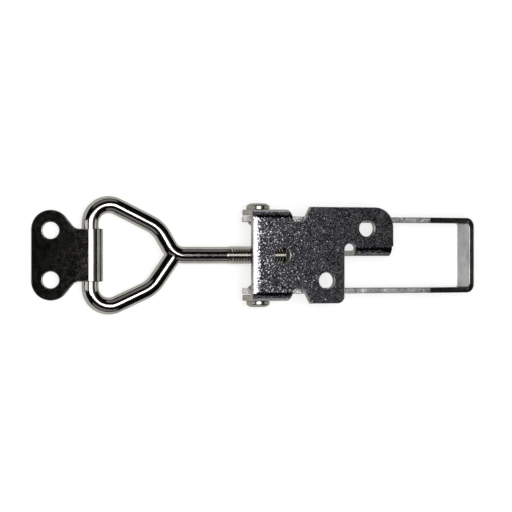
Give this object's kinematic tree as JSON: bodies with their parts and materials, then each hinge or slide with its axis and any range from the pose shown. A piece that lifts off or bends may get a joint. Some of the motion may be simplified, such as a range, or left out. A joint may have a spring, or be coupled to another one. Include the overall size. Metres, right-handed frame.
{
  "type": "toggle bolt latch",
  "caption": "Adjustable over-centre toggle latch: riveted strap lever on a flanged base plate pulls a threaded loop bolt hooked on a keeper plate.",
  "frame": {"origin": "on the base plate's mounting face, on its centre line, over the lever's pivot axis", "axes": "+Z out of the mounting face, towards what the latch is screwed to; +X towards the lever's handle; the closed latch lies on its lever side"},
  "size_m": [0.162, 0.0403, 0.017],
  "materials": {
    "plate_zinc": "bright plated steel with a fine pitted, tumbled surface",
    "lever_zinc": "bright plated steel strap, sheared edges slightly rough",
    "rivet_steel": "plated rivet, turned face",
    "trunnion_steel": "plated turned steel",
    "bolt_steel": "smooth bright plated rod with a rolled thread",
    "keeper_steel": "smooth dark bright-plated sheet"
  },
  "bodies": {
    "base": {"base_plate": "plate_zinc", "pivot_rivet_left": "rivet_steel", "pivot_rivet_right": "rivet_steel"},
    "lever": {"lever": "lever_zinc"},
    "trunnion": {"trunnion": "trunnion_steel"},
    "loop": {"loop_bolt": "bolt_steel"},
    "keeper": {"keeper_plate": "keeper_steel"}
  },
  "joints": [
    {"name": "lever_pivot", "type": "hinge", "parent": "base", "child": "lever", "pos_m": [0, 0, -0.009], "axis": [0, 1, 0], "range_deg": [0, 150]},
    {"name": "trunnion_pivot", "type": "hinge", "parent": "lever", "child": "trunnion", "pos_m": [0.013, 0, -0.008], "axis": [0, 1, 0], "range_deg": [-150, 0]},
    {"name": "bolt_adjust", "type": "slide", "parent": "trunnion", "child": "loop", "axis": [0.9983, 0, 0.0579], "range_m": [-0.004, 0.008]},
    {"name": "keeper_swing", "type": "hinge", "parent": "loop", "child": "keeper", "pos_m": [-0.05968, 0, -0.01221], "axis": [0, 1, 0], "range_deg": [-30, 110]}
  ],
  "couplings": [
    {"joint": "trunnion_pivot", "follows": "lever_pivot", "ratio": -1}
  ]
}
